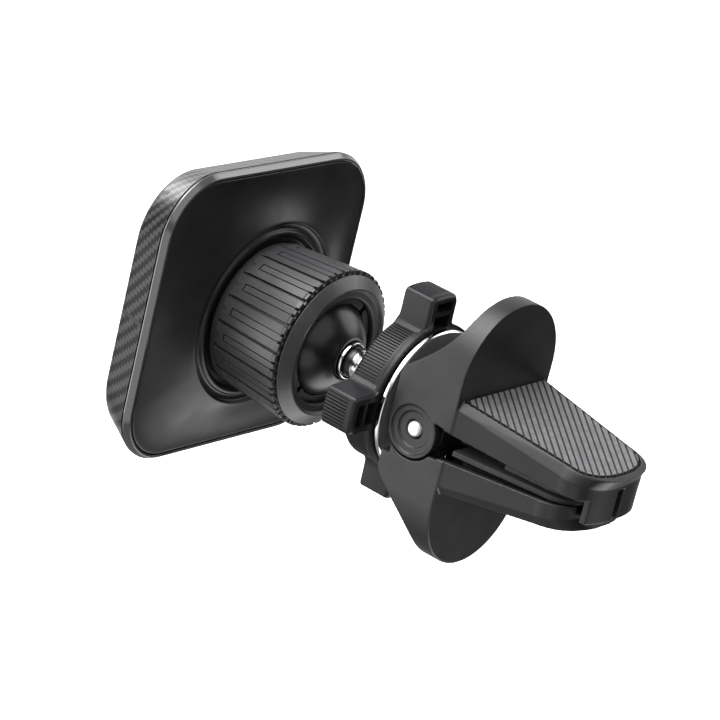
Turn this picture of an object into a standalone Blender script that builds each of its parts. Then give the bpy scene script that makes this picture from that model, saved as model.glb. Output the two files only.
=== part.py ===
"""Magnetic car phone mount with a screw-locked air-vent clip.

The phone face looks along -Y and the vent jaws reach out along +Y, +Z is up.
The origin is the middle of the phone face. Lengths below are in millimetres
and MM turns them into metres.
"""
import math

import bmesh
import bpy
from mathutils import Vector

MM = 0.001
GAP = 0.3

# Magnetic plate: half sides of its rounded square at each level of Y
PLATE_CORNER = 12.5
FACE_PAD_HALF = 23.0
SHELL_FRONT_Y, SHELL_BACK_Y = 0.4, 8.4
SHELL_FRONT_HALF, SHELL_BACK_HALF = 27.0, 29.75
SHELL_WALL = 1.9
CAVITY_FLOOR_Y = 3.0
BEZEL_BACK_Y = 10.05
BEZEL_BACK_HALF = 29.05
COVER_HALF = 28.3
COVER_EDGE_Y = 10.0
MAGNET_RADIUS, MAGNET_THICK, MAGNET_SPACING = 7.5, 2.5, 12.0
YOKE_HALF, YOKE_THICK = 24.0, 0.8
SCREW_CIRCLE = 16.2
LOOP_POINTS = 60

# Ball joint, all turned about the Y axis
BALL_Y, BALL_RADIUS = 26.0, 10.5
SEAT_RADIUS = 11.5
SOCKET_RADIUS = 13.2
SOCKET_TOP_Y, SOCKET_TOP_RADIUS = 31.0, 10.9
CONE_START_Y = 25.0
RING_NUT_PANELS = 18
RING_NUT_BASE_Y, RING_NUT_PANEL_Y, RING_NUT_LIP_Y = 12.8, 30.8, 32.8
RING_NUT_BASE_RADIUS, RING_NUT_PANEL_RADIUS = 14.9, 16.3

# Vent clip
LOCK_NUT_BACK_Y, LOCK_NUT_FRONT_Y = 46.8, 54.1
LUG_TURN = 1.0
LUG_WINDOWS = ((1.8, 17.8), (2.5, 14.4))     # height and lower edge
THRUST_BACK_Y, THRUST_FRONT_Y, THRUST_RADIUS = 54.4, 55.7, 14.4
LOCK_NUT_RADIUS, LOCK_NUT_FLANGE_RADIUS = 14.6, 15.1
LUG_RADIUS, LUG_WIDTH = 21.0, 7.5
BOSS_RADIUS = 8.0
PIN_Y, PIN_RADIUS, PIN_HALF_LENGTH = 62.6, 1.5, 13.6
CORE_HALF_WIDTH = 8.0
EYE_INNER_X, EYE_OUTER_X = 8.3, 10.85
CHEEK_INNER_X, JAW_HALF_WIDTH = 11.15, 14.0
EYE_RADIUS = 5.4
PADDLE_FRONT, PADDLE_TOP = 8.4, 26.4
NOSE_START, NOSE_LENGTH, NOSE_HALF_WIDTH = 31.0, 8.0, 11.2
LOWER_NOSE_SHORTER = 3.1
RIM_WIDTH = 1.6
PAD_DEPTH = 1.2
POCKET_DEPTH = 1.6

# Object rotations: a flat outline drawn in local X, Y and thickened along local Z
SIDE = (math.pi / 2, 0, math.pi / 2)    # outline in Y, Z, thickened along X
FRONT = (math.pi / 2, 0, 0)             # outline in X, Z, thickened along Y
PLAN = (0, 0, 0)                        # outline in X, Y, thickened along Z
TURNED = (-math.pi / 2, 0, 0)           # local Z becomes +Y

# ---------------------------------------------------------------- scene and materials


def clear_scene():
    for thing in list(bpy.data.objects):
        bpy.data.objects.remove(thing, do_unlink=True)


def new_collection(name):
    collection = bpy.data.collections.new(name)
    bpy.context.scene.collection.children.link(collection)
    return collection


def principled(name, colour, roughness, metallic=0.0):
    material = bpy.data.materials.new(name)
    material.use_nodes = True
    shader = material.node_tree.nodes["Principled BSDF"]
    shader.inputs["Base Color"].default_value = (*colour, 1.0)
    shader.inputs["Roughness"].default_value = roughness
    shader.inputs["Metallic"].default_value = metallic
    material.diffuse_color = (*colour, 1.0)
    return material


clear_scene()
PARTS = new_collection("car_phone_mount")
CUTTERS = new_collection("cutters")

WEAVE_SHELL = principled("weave_shell", (0.03, 0.03, 0.033), 0.32)
SATIN_BLACK = principled("satin_black_plastic", (0.022, 0.022, 0.024), 0.45)
PIANO_BLACK = principled("polished_black_bezel", (0.012, 0.012, 0.014), 0.08)
GRAPHITE = principled("graphite_clip_plastic", (0.035, 0.035, 0.038), 0.4)
RUBBER = principled("black_rubber", (0.02, 0.02, 0.022), 0.85)
NYLON = principled("white_nylon", (0.75, 0.74, 0.7), 0.5)
CHROME = principled("chrome", (0.86, 0.86, 0.88), 0.06, 1.0)
STEEL = principled("plain_steel", (0.62, 0.62, 0.64), 0.3, 1.0)
MAGNET = principled("nickel_magnet", (0.7, 0.69, 0.66), 0.25, 1.0)
SPRING_STEEL = principled("spring_steel", (0.45, 0.45, 0.47), 0.35, 1.0)

# ---------------------------------------------------------------- modelling helpers


def add_object(name, data, material, parent=None, collection=None):
    thing = bpy.data.objects.new(name, data)
    (collection or PARTS).objects.link(thing)
    if material:
        data.materials.append(material)
    thing.parent = parent
    return thing


def axis_empty(name, location, parent=None):
    empty = bpy.data.objects.new(name, None)
    empty.empty_display_size = 5 * MM
    empty.location = Vector(location) * MM
    empty.parent = parent
    PARTS.objects.link(empty)
    return empty


def as_cutter(thing):
    for collection in list(thing.users_collection):
        collection.objects.unlink(thing)
    CUTTERS.objects.link(thing)
    thing.hide_render = True
    thing.display_type = "WIRE"
    return thing


def boolean(thing, other, operation="DIFFERENCE"):
    """Cut, join or intersect with another mesh object, which becomes a cutter."""
    as_cutter(other)
    modifier = thing.modifiers.new(operation.lower(), "BOOLEAN")
    modifier.operation = operation
    modifier.object = other
    return thing


def turned(name, profile, material=None, parent=None, steps=64, location=(0, 0, 0)):
    """Turn (radius, height) points about the Y axis; the outer side runs top to bottom."""
    mesh = bpy.data.meshes.new(name)
    points = [(radius * MM, 0, height * MM) for radius, height in profile]
    on_axis = profile[0][0] == 0 and profile[-1][0] == 0
    edges = [(i, i + 1) for i in range(len(points) - 1)]
    if not on_axis:
        edges.append((len(points) - 1, 0))
    mesh.from_pydata(points, edges, [])
    thing = add_object(name, mesh, material, parent)
    thing.rotation_euler = TURNED
    thing.location = Vector(location) * MM
    screw = thing.modifiers.new("turn", "SCREW")
    screw.steps = steps
    screw.render_steps = steps
    screw.use_merge_vertices = True
    screw.merge_threshold = 0.000001
    screw.use_smooth_shade = False
    return thing


def cylinder(name, radius, length, centre, axis="Y", material=None, parent=None, sides=48):
    mesh = bpy.data.meshes.new(name)
    shape = bmesh.new()
    bmesh.ops.create_cone(shape, cap_ends=True, segments=sides, radius1=radius * MM,
                          radius2=radius * MM, depth=length * MM)
    shape.to_mesh(mesh)
    shape.free()
    thing = add_object(name, mesh, material, parent)
    thing.rotation_euler = {"X": (0, math.pi / 2, 0), "Y": TURNED, "Z": PLAN}[axis]
    thing.location = Vector(centre) * MM
    return thing


def box(name, size, centre, material=None, parent=None):
    mesh = bpy.data.meshes.new(name)
    shape = bmesh.new()
    bmesh.ops.create_cube(shape, size=1)
    bmesh.ops.scale(shape, vec=Vector(size) * MM, verts=shape.verts)
    shape.to_mesh(mesh)
    shape.free()
    thing = add_object(name, mesh, material, parent)
    thing.location = Vector(centre) * MM
    return thing


def mesh_from_curve(thing):
    """Swap a curve object for a welded mesh object of the same name and place."""
    bpy.context.view_layer.update()
    evaluated = thing.evaluated_get(bpy.context.evaluated_depsgraph_get())
    mesh = bpy.data.meshes.new_from_object(evaluated)
    shape = bmesh.new()
    shape.from_mesh(mesh)
    bmesh.ops.remove_doubles(shape, verts=shape.verts, dist=0.000001)
    bmesh.ops.recalc_face_normals(shape, faces=shape.faces)
    shape.to_mesh(mesh)
    shape.free()
    name, parent, place = thing.name, thing.parent, thing.matrix_basis.copy()
    bpy.data.objects.remove(thing, do_unlink=True)
    solid = bpy.data.objects.new(name, mesh)
    PARTS.objects.link(solid)
    solid.parent = parent
    solid.matrix_basis = place
    return solid


def outline_solid(name, points, thickness, rotation, middle=(0, 0, 0), material=None, parent=None):
    """Thicken a closed outline evenly about `middle`."""
    curve = bpy.data.curves.new(name, "CURVE")
    curve.dimensions = "2D"
    curve.fill_mode = "BOTH"
    curve.extrude = thickness / 2 * MM
    spline = curve.splines.new("POLY")
    spline.points.add(len(points) - 1)
    for point, (across, up) in zip(spline.points, points):
        point.co = (across * MM, up * MM, 0, 1)
    spline.use_cyclic_u = True
    thing = add_object(name, curve, material, parent)
    thing.rotation_euler = rotation
    thing.location = Vector(middle) * MM
    solid = mesh_from_curve(thing)
    if material:
        solid.data.materials.clear()
        solid.data.materials.append(material)
    return solid


def loft(name, sections, material=None, parent=None, closed_ring=False):
    """Skin matching loops of (x, y, z) points; the ends are capped unless the loops form a ring."""
    mesh = bpy.data.meshes.new(name)
    shape = bmesh.new()
    loops = [[shape.verts.new(Vector(point) * MM) for point in section] for section in sections]
    pairs = list(zip(loops, loops[1:]))
    if closed_ring:
        pairs.append((loops[-1], loops[0]))
    count = len(loops[0])
    for lower, upper in pairs:
        for i in range(count):
            j = (i + 1) % count
            shape.faces.new((lower[i], lower[j], upper[j], upper[i]))
    if not closed_ring:
        shape.faces.new(loops[0])
        shape.faces.new(loops[-1])
    bmesh.ops.recalc_face_normals(shape, faces=shape.faces)
    shape.to_mesh(mesh)
    shape.free()
    return add_object(name, mesh, material, parent)


def arc(centre, radius, start, end, steps):
    """Points on an arc, angles in degrees."""
    angles = [math.radians(start + (end - start) * i / steps) for i in range(steps + 1)]
    return [(centre[0] + radius * math.cos(a), centre[1] + radius * math.sin(a)) for a in angles]


def rounded_slab(name, front_half, back_half, front_y, back_y, corner, material=None, parent=None,
                 front_round=0.0):
    """Square slab across Y with rounded corners, tapering from back to front."""
    mesh = bpy.data.meshes.new(name)
    shape = bmesh.new()
    bmesh.ops.create_cube(shape, size=2)
    for vert in shape.verts:
        at_front = vert.co.y < 0
        half = front_half if at_front else back_half
        vert.co = Vector((math.copysign(half, vert.co.x), front_y if at_front else back_y,
                          math.copysign(half, vert.co.z))) * MM
    along_y = [edge for edge in shape.edges
               if edge.verts[0].co.y != edge.verts[1].co.y]
    bmesh.ops.bevel(shape, geom=along_y, offset=corner * MM, offset_type="OFFSET", segments=8,
                    profile=0.5, affect="EDGES", clamp_overlap=False)
    if front_round:
        front_edges = [edge for edge in shape.edges
                       if all(abs(vert.co.y - front_y * MM) < 1e-7 for vert in edge.verts)]
        bmesh.ops.bevel(shape, geom=front_edges, offset=front_round * MM, offset_type="OFFSET",
                        segments=2, profile=0.5, affect="EDGES", clamp_overlap=False)
    shape.to_mesh(mesh)
    shape.free()
    return add_object(name, mesh, material, parent)


def square_loop(half, corner, y, count=LOOP_POINTS):
    """Rounded square about the Y axis, its points at even polar angles."""
    loop = []
    for i in range(count):
        angle = 2 * math.pi * i / count
        across, up = math.cos(angle), math.sin(angle)
        wide, narrow = max(abs(across), abs(up)), min(abs(across), abs(up))
        distance = half / wide
        inner = half - corner
        if distance * narrow > inner:
            along = inner * (wide + narrow)
            distance = along + math.sqrt(along * along - 2 * inner * inner + corner * corner)
        loop.append((distance * across, y, distance * up))
    return loop


def circle_loop(radius, y, count=LOOP_POINTS):
    return [(radius * math.cos(2 * math.pi * i / count), y, radius * math.sin(2 * math.pi * i / count))
            for i in range(count)]


def blend_loops(first, second, share, y):
    return [(a[0] + (b[0] - a[0]) * share, y, a[2] + (b[2] - a[2]) * share)
            for a, b in zip(first, second)]


# ---------------------------------------------------------------- magnetic plate


def make_front_shell(parent):
    """Tray with the woven-look side wall, open towards the back cover."""
    shell = rounded_slab("front_shell", SHELL_FRONT_HALF, SHELL_BACK_HALF, SHELL_FRONT_Y, SHELL_BACK_Y,
                         PLATE_CORNER, WEAVE_SHELL, parent, front_round=1.5)
    cavity = rounded_slab("shell_cavity", SHELL_FRONT_HALF + 0.6 - SHELL_WALL,
                          SHELL_BACK_HALF + 0.3 - SHELL_WALL, CAVITY_FLOOR_Y, SHELL_BACK_Y + 1,
                          PLATE_CORNER - SHELL_WALL)
    recess = rounded_slab("pad_recess", FACE_PAD_HALF + GAP, FACE_PAD_HALF + GAP,
                          SHELL_FRONT_Y - 1, 1.5, PLATE_CORNER - 3)
    boolean(shell, cavity)
    boolean(shell, recess)
    return shell


def make_face_pad(parent):
    return rounded_slab("phone_face_pad", FACE_PAD_HALF - 0.3, FACE_PAD_HALF, 0, 1.2,
                        PLATE_CORNER - 3.3, RUBBER, parent)


def make_bezel_ring(parent):
    """Polished ring between the shell and the back cover, bevelled on its outer back edge."""
    inner = COVER_HALF + GAP
    levels = [(SHELL_BACK_HALF, SHELL_BACK_Y + GAP), (SHELL_BACK_HALF, SHELL_BACK_Y + 0.6),
              (BEZEL_BACK_HALF, BEZEL_BACK_Y), (inner + 0.02, BEZEL_BACK_Y),
              (inner, SHELL_BACK_Y + GAP)]
    sections = [square_loop(half, PLATE_CORNER - SHELL_BACK_HALF + half, y) for half, y in levels]
    return loft("bezel_ring", sections, PIANO_BLACK, parent, closed_ring=True)


def make_back_cover(parent):
    """Rises from the bezel to a moat, a collar and the hole for the ball socket."""
    edge = square_loop(COVER_HALF, PLATE_CORNER - 1.45, COVER_EDGE_Y)
    moat = circle_loop(19.1, 13.5)
    under_y = 10.2
    sections = [square_loop(COVER_HALF, PLATE_CORNER - 1.45, 8.8), edge]
    for share, rise in ((0.35, 0.45), (0.7, 1.6)):
        sections.append(blend_loops(edge, moat, share, COVER_EDGE_Y + rise))
    sections.append(moat)
    for radius, y in ((18.5, 12.75), (17.4, 12.65), (16.95, 13.2), (16.4, 13.3), (15.7, 12.2),
                      (SOCKET_RADIUS + 0.4, 12.0), (SOCKET_RADIUS + 0.4, under_y), (19.0, under_y)):
        sections.append(circle_loop(radius, y))
    sections.append(square_loop(26.8, PLATE_CORNER - 2.9, 8.8))
    cover = loft("back_cover", sections, SATIN_BLACK, parent, closed_ring=True)
    for x, z in screw_places():
        boolean(cover, cylinder("pilot_hole", 1.2, 3.0, (x, 10.1, z), sides=16))
    return cover


def screw_places():
    reach = SCREW_CIRCLE * math.sqrt(0.5)
    return [(x, z) for x in (-reach, reach) for z in (-reach, reach)]


def make_ball_socket(parent):
    """Split collet cup with a flange that is screwed under the back cover."""
    seat_hollow = SEAT_RADIUS + GAP
    ball_hollow = BALL_RADIUS + GAP
    inner = arc((0, BALL_Y), seat_hollow, -90, 0, 6) + arc((0, BALL_Y), ball_hollow, 0, 26, 3)
    inner[0] = (0, BALL_Y - seat_hollow)
    outer = [(9.5, SOCKET_TOP_Y), (SOCKET_TOP_RADIUS, SOCKET_TOP_Y), (SOCKET_RADIUS, CONE_START_Y),
             (SOCKET_RADIUS, 9.9), (18.6, 9.9), (18.6, 8.5), (9.0, 8.5), (9.0, 10.6), (4.0, 12.2),
             (0, 12.2)]
    socket = turned("ball_socket", inner + outer, SATIN_BLACK, parent, steps=32)
    for turn in (math.pi / 4, -math.pi / 4):
        slot = box("socket_slot", (1.2, 13.0, 40.0), (0, 28.0, 0))
        slot.rotation_euler = (0, turn, 0)
        boolean(socket, slot)
    for x, z in screw_places():
        boolean(socket, cylinder("flange_hole", 1.2, 4.0, (x, 9.2, z), sides=16))
    return socket


def make_socket_screws(parent):
    for number, (x, z) in enumerate(screw_places(), 1):
        profile = [(0, 11.3), (0.9, 11.3), (0.9, 8.2), (2.2, 8.2), (2.2, 7.4), (1.9, 7.2), (0, 7.2)]
        turned(f"socket_screw_{number}", profile, STEEL, parent, steps=16, location=(x, 0, z))


def make_magnets(parent):
    number = 0
    for x in (-MAGNET_SPACING, MAGNET_SPACING):
        for z in (-MAGNET_SPACING, MAGNET_SPACING):
            number += 1
            cylinder(f"magnet_{number}", MAGNET_RADIUS, MAGNET_THICK,
                     (x, CAVITY_FLOOR_Y + GAP + MAGNET_THICK / 2, z), "Y", MAGNET, parent, sides=32)


def make_yoke_plate(parent):
    front = CAVITY_FLOOR_Y + 2 * GAP + MAGNET_THICK
    return rounded_slab("steel_yoke_plate", YOKE_HALF, YOKE_HALF, front, front + YOKE_THICK, 9.0, STEEL,
                        parent)


# ---------------------------------------------------------------- ball joint


def make_ball_seat(parent):
    """Thin nylon cap under the ball, low enough to stay in the socket's wide half at full tilt."""
    rim = -31
    inner = arc((0, BALL_Y), BALL_RADIUS + GAP, -90, rim, 6)
    outer = arc((0, BALL_Y), SEAT_RADIUS, rim, -90, 6)
    inner[0] = (0, BALL_Y - BALL_RADIUS - GAP)
    outer[-1] = (0, BALL_Y - SEAT_RADIUS)
    return turned("ball_seat", inner + outer, NYLON, parent, steps=28)


def make_swivel_ball(parent):
    """Ball with a blind bore for the stud, open towards the clip."""
    bore = 3.9
    bore_floor = 22.0
    start = math.degrees(math.acos(bore / BALL_RADIUS))
    sphere = arc((0, BALL_Y), BALL_RADIUS, start, -90, 13)
    sphere[-1] = (0, BALL_Y - BALL_RADIUS)
    profile = [(0, bore_floor), (bore, bore_floor)] + sphere
    return turned("swivel_ball", profile, SATIN_BLACK, parent, steps=40)


def make_compression_ring(parent):
    """Wedge ring that the ring nut draws down over the socket's fingers."""
    bottom, top = 27.2, 30.4
    slope = (SOCKET_RADIUS - SOCKET_TOP_RADIUS) / (SOCKET_TOP_Y - CONE_START_Y)
    inner_bottom = SOCKET_RADIUS - slope * (bottom - CONE_START_Y) + 0.35
    inner_top = SOCKET_RADIUS - slope * (top - CONE_START_Y) + 0.35
    profile = [(SOCKET_RADIUS, top), (SOCKET_RADIUS, bottom), (inner_bottom, bottom), (inner_top, top)]
    return turned("compression_ring", profile, NYLON, parent, steps=40)


def make_ring_nut(parent):
    """Hand nut round the ball: raised panels, grooves between them and a smooth lip."""
    bore = SOCKET_RADIUS + 0.4
    profile = [(12.7, RING_NUT_LIP_Y), (14.6, RING_NUT_LIP_Y - 0.5), (15.6, 31.1),
               (15.75, RING_NUT_PANEL_Y), (RING_NUT_PANEL_RADIUS, RING_NUT_PANEL_Y - 0.1),
               (RING_NUT_BASE_RADIUS + 0.15, 14.6), (RING_NUT_BASE_RADIUS - 0.2, RING_NUT_BASE_Y),
               (bore, RING_NUT_BASE_Y), (bore, 30.7), (11.0, 30.7), (11.0, 31.4)]
    nut = turned("clamp_ring_nut", profile, SATIN_BLACK, parent, steps=54)
    rise, run = RING_NUT_PANEL_RADIUS - RING_NUT_BASE_RADIUS - 0.15, RING_NUT_PANEL_Y - 0.1 - 14.6
    middle_y = 23.8
    surface = RING_NUT_BASE_RADIUS + 0.15 + (middle_y - 14.6) * rise / run
    for number in range(RING_NUT_PANELS):
        turn = math.radians(4) + 2 * math.pi * number / RING_NUT_PANELS
        groove = box("panel_groove", (0.8, 19.0, 0.8), (0, 0, 0))
        groove.rotation_euler = (math.atan(rise / run), turn, 0)
        groove.location = Vector((surface * math.sin(turn), middle_y, surface * math.cos(turn))) * MM
        boolean(nut, groove)
    return nut


# ---------------------------------------------------------------- clip core


def make_ball_stud(parent):
    """Chrome stud: shank in the ball, collar, waisted neck and shank in the core."""
    profile = [(0, 54.7), (3.0, 54.7), (3.0, 46.0), (5.6, 46.0), (5.6, 45.0), (4.2, 43.6), (3.4, 41.0),
               (3.1, 38.5), (3.3, 37.2), (4.3, 36.9), (4.3, 36.2), (3.6, 36.1), (3.6, 22.6), (0, 22.6)]
    stud = turned("ball_stud", profile, CHROME, parent, steps=40)
    boolean(stud, cylinder("stud_tapping", 1.5, 8.0, (0, 51.7, 0), sides=16))
    return stud


def make_stud_screw(parent):
    profile = [(0, 59.0), (2.2, 59.0), (2.5, 58.7), (2.5, 57.3), (1.2, 57.3), (1.2, 48.5), (0, 48.5)]
    return turned("stud_screw", profile, STEEL, parent, steps=20)


def make_hinge_core(parent):
    """Block between the jaws with the threaded boss that the lock nut runs on."""
    half_height = 5.8
    block_back, block_front = PIN_Y - 5.0, PIN_Y + 4.2
    outline = [(block_back, -half_height), (block_front - 1.5, -half_height),
               (block_front, -half_height + 1.5), (block_front, half_height - 1.5),
               (block_front - 1.5, half_height), (block_back, half_height)]
    core = outline_solid("hinge_core", outline, 2 * CORE_HALF_WIDTH, SIDE, material=GRAPHITE,
                         parent=parent)
    boss = cylinder("threaded_boss", BOSS_RADIUS - 0.02, 12.4, (0, 52.5, 0), sides=48)
    boolean(core, boss, "UNION")
    boolean(core, cylinder("stud_bore", 3.3, 12.0, (0, 49.0, 0), sides=24))
    boolean(core, cylinder("screw_hole", 1.7, 6.0, (0, 56.0, 0), sides=16))
    boolean(core, cylinder("screw_head_bore", 2.9, 5.0, (0, 59.5, 0), sides=24))
    boolean(core, box("spring_slot", (6.2, 12.0, 20.0), (0, PIN_Y - 3.2 + 6.0, 0)))
    boolean(core, cylinder("pin_bore", PIN_RADIUS + GAP, 30.0, (0, PIN_Y, 0), "X", sides=24))
    return core


def make_hinge_pin(parent):
    pin = cylinder("hinge_pin", PIN_RADIUS, 2 * PIN_HALF_LENGTH, (0, PIN_Y, 0), "X", STEEL, parent, 32)
    bevel = pin.modifiers.new("domed_ends", "BEVEL")
    bevel.width = 0.35 * MM
    bevel.segments = 2
    bevel.limit_method = "ANGLE"
    bevel.angle_limit = math.radians(60)
    return pin


def make_torsion_spring(parent):
    """Coil round the pin with two legs that push the rear webs of the jaws apart."""
    coil_radius, half_length, turns, per_turn = 2.4, 2.2, 4, 12
    leg_foot = (-1.7, 10.1)
    points = [(half_length, leg_foot[0], leg_foot[1])]
    steps = turns * per_turn
    for step in range(steps + 1):
        angle = math.pi + 2 * math.pi * step / per_turn
        x = half_length - 2 * half_length * step / steps
        points.append((x, coil_radius * math.cos(angle), coil_radius * math.sin(angle)))
    points.append((-half_length, leg_foot[0], -leg_foot[1]))
    curve = bpy.data.curves.new("torsion_spring", "CURVE")
    curve.dimensions = "3D"
    curve.bevel_depth = 0.42 * MM
    curve.bevel_resolution = 2
    curve.use_fill_caps = True
    spline = curve.splines.new("POLY")
    spline.points.add(len(points) - 1)
    for point, place in zip(spline.points, points):
        point.co = (*(Vector(place) * MM), 1)
    spring = add_object("torsion_spring", curve, SPRING_STEEL, parent)
    spring.location = Vector((0, PIN_Y, 0)) * MM
    return spring


def make_thrust_ring(parent):
    """Polished washer that carries the nut's push on to the jaws."""
    back, front, radius = THRUST_BACK_Y, THRUST_FRONT_Y, THRUST_RADIUS
    profile = [(radius - 0.3, front), (radius, front - 0.3), (radius, back + 0.3), (radius - 0.3, back),
               (8.5, back), (8.5, front)]
    return turned("thrust_ring", profile, CHROME, parent, steps=48)


def make_lock_nut(parent):
    """Ribbed nut with four hollow lugs."""
    front, back, radius = LOCK_NUT_FRONT_Y, LOCK_NUT_BACK_Y, LOCK_NUT_RADIUS
    bore = BOSS_RADIUS + GAP
    profile = [(LOCK_NUT_FLANGE_RADIUS, front), (LOCK_NUT_FLANGE_RADIUS, front - 1.0),
               (radius, front - 1.2), (radius, back), (12.6, back), (12.6, front - 2.0),
               (10.4, front - 2.0), (10.4, back + 0.7), (bore, back + 0.7), (bore, front)]
    nut = turned("clip_lock_nut", profile, GRAPHITE, parent, steps=56)
    rotation = math.radians(LUG_TURN)
    half = LUG_WIDTH / 2
    lug_outline = [(-half - 1.2, 13.2), (-half, 15.6), (-half, LUG_RADIUS - 1.2)]
    lug_outline += [(-half + 1.2, LUG_RADIUS - 0.3), (0, LUG_RADIUS)]
    lug_outline += [(-across, up) for across, up in lug_outline[-2::-1]]
    middle = (front + back) / 2
    for quarter in range(4):
        turn = rotation + quarter * math.pi / 2
        lug = outline_solid("lug", lug_outline, front - back - 0.1, FRONT, (0, middle, 0))
        lug.rotation_euler = (math.pi / 2, turn, 0)
        boolean(nut, lug, "UNION")
        for height, low in LUG_WINDOWS:
            window = box("lug_window", (LUG_WIDTH - 3.0, 6.0, height), (0, 0, 0))
            centre = low + height / 2
            window.rotation_euler = (0, turn, 0)
            window.location = Vector((centre * math.sin(turn), front - 2.6,
                                      centre * math.cos(turn))) * MM
            boolean(nut, window)
    return nut


# ---------------------------------------------------------------- jaws
# Jaw shapes are drawn from the pin's axis: "ahead" is along Y and "out" is away from the
# middle plane, so side=+1 gives the upper jaw and side=-1 the lower one.


def inner_level(ahead):
    return 2.8 - 0.06 * (ahead - 6.4)


def side_level(ahead):
    return 7.6 - 0.146 * (ahead - PADDLE_FRONT)


def pad_level(ahead):
    return 9.3 - 0.129 * (ahead - PADDLE_FRONT)


def arm_outline(start, inset=0.0, shorter=0.0):
    """Plan of the arm from `start` to the rounded nose, as (x, ahead) points."""
    nose_start = NOSE_START - shorter
    taper = (JAW_HALF_WIDTH - NOSE_HALF_WIDTH) / (NOSE_START - PADDLE_FRONT)
    half = NOSE_HALF_WIDTH - inset + taper * shorter
    length = NOSE_LENGTH - inset
    start_half = min(half + taper * (nose_start - start), JAW_HALF_WIDTH - inset)
    right = [(start_half, start)]
    steps = 10
    for i in range(steps + 1):
        angle = math.pi / 2 * i / steps
        across = half * math.cos(angle) ** 0.8
        ahead = nose_start + length * math.sin(angle) ** 0.8
        right.append((across, ahead))
    right[-1] = (0, nose_start + length)
    left = [(-across, ahead) for across, ahead in right[-2::-1]]
    return right + left


def arm_section(outline, level, side, offset=0.0):
    return [(across, ahead, side * (level(ahead) + offset)) for across, ahead in outline]


def rear_outline(side):
    """Side view of the cheek, the concave thumb ramp and the paddle."""
    rear = -EYE_RADIUS
    ramp = [(rear, 9.4), (rear + 0.3, 10.4), (-1.9, 13.5), (0.3, 15.6), (2.3, 18.0), (3.7, 20.8),
            (4.2, 23.8), (4.3, PADDLE_TOP)]
    front = [(PADDLE_FRONT, PADDLE_TOP), (PADDLE_FRONT, 3.0), (4.3, 3.3)]
    eye = arc((0, 0), EYE_RADIUS, 30, -180, 18)
    return [(ahead, side * out) for ahead, out in ramp + front + eye]


def paddle_outline(side):
    """Front view: straight sides, then a half-round top."""
    half = JAW_HALF_WIDTH
    centre = PADDLE_TOP - half
    dome = arc((0, centre), half, 0, 180, 24)
    return [(x, side * z) for x, z in [(half, -9.0)] + dome + [(-half, -9.0)]]


def make_jaw(name, side, parent, shorter):
    jaw = outline_solid(name, rear_outline(side), 2 * JAW_HALF_WIDTH, SIDE, material=GRAPHITE,
                        parent=parent)
    dome = outline_solid(name + "_dome", paddle_outline(side), 60.0, FRONT, parent=parent)
    boolean(jaw, dome, "INTERSECT")
    start = PADDLE_FRONT - 1.6
    plain = arm_outline(start, 0.02, shorter)
    top = arm_outline(start, RIM_WIDTH - 0.3, shorter)
    arm = loft(name + "_arm", [arm_section(plain, inner_level, side), arm_section(plain, side_level, side),
                               arm_section(top, pad_level, side)], parent=parent)
    boolean(jaw, arm, "UNION")
    cavity_half = CHEEK_INNER_X if side > 0 else EYE_INNER_X
    cavity = [(-7.5, -7.5), (-7.5, 8.2), (-3.9, 9.2), (-0.6, 12.0), (3.2, 16.2), (4.6, 18.0), (6.0, 18.0),
              (6.0, -7.5)]
    boolean(jaw, outline_solid(name + "_cavity", [(a, side * b) for a, b in cavity], 2 * cavity_half,
                               SIDE, parent=parent))
    boolean(jaw, cylinder(name + "_scoop", 10.0, 14.0, (0, -12.3, side * 13.0), "Z", parent=parent))
    boolean(jaw, cylinder(name + "_pin_hole", PIN_RADIUS + GAP, 40.0, (0, 0, 0), "X", parent=parent,
                          sides=24))
    pocket_plan = arm_outline(PADDLE_FRONT + 0.01, RIM_WIDTH, shorter)
    boolean(jaw, loft(name + "_pad_pocket", [arm_section(pocket_plan, pad_level, side, -PAD_DEPTH),
                                             arm_section(pocket_plan, pad_level, side, 2.0)],
                      parent=parent))
    liner_plan = arm_outline(start - 2.0, 1.1, shorter)
    boolean(jaw, loft(name + "_liner_pocket", [arm_section(liner_plan, inner_level, side, POCKET_DEPTH),
                                               arm_section(liner_plan, inner_level, side, -4.0)],
                      parent=parent))
    return jaw


def make_upper_jaw(parent):
    jaw = make_jaw("upper_jaw", 1, parent, 0.0)
    nose_plan = arm_outline(PADDLE_FRONT, 0.02)
    for centre in (-4.3, 4.3):
        tooth = box("tooth_block", (6.8, 2.7, 6.6), (centre, 37.65, -0.3), parent=parent)
        trim = outline_solid("tooth_trim", nose_plan, 30.0, PLAN, parent=parent)
        boolean(tooth, trim, "INTERSECT")
        boolean(jaw, tooth, "UNION")
    for edge in (-1, 1):
        for radius, depth in ((4.3, 0.35), (3.4, 0.7)):
            middle = edge * (JAW_HALF_WIDTH - depth + 2.0)
            boolean(jaw, cylinder("eye_step", radius, 4.0, (middle, 0, 0), "X", parent=parent, sides=38))
    return jaw


def make_lower_jaw(parent):
    """Its eyes sit inside the upper jaw's, so each cheek is cut back round the outer eye."""
    jaw = make_jaw("lower_jaw", -1, parent, LOWER_NOSE_SHORTER)
    width = 6.0
    for edge in (-1, 1):
        middle = edge * (EYE_OUTER_X + width / 2)
        boolean(jaw, cylinder("eye_recess", EYE_RADIUS + 0.35, width, (middle, 0, 0), "X", parent=parent))
        boolean(jaw, box("cheek_relief", (width, 3.9, 9.0), (middle, -5.55, -1.7), parent=parent))
    return jaw


def make_grip_pad(name, side, parent, shorter):
    plan = arm_outline(PADDLE_FRONT + 0.35, RIM_WIDTH + GAP, shorter)
    return loft(name, [arm_section(plan, pad_level, side, 0.1 - 1.0), arm_section(plan, pad_level, side, 0.1)],
                RUBBER, parent)


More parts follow.
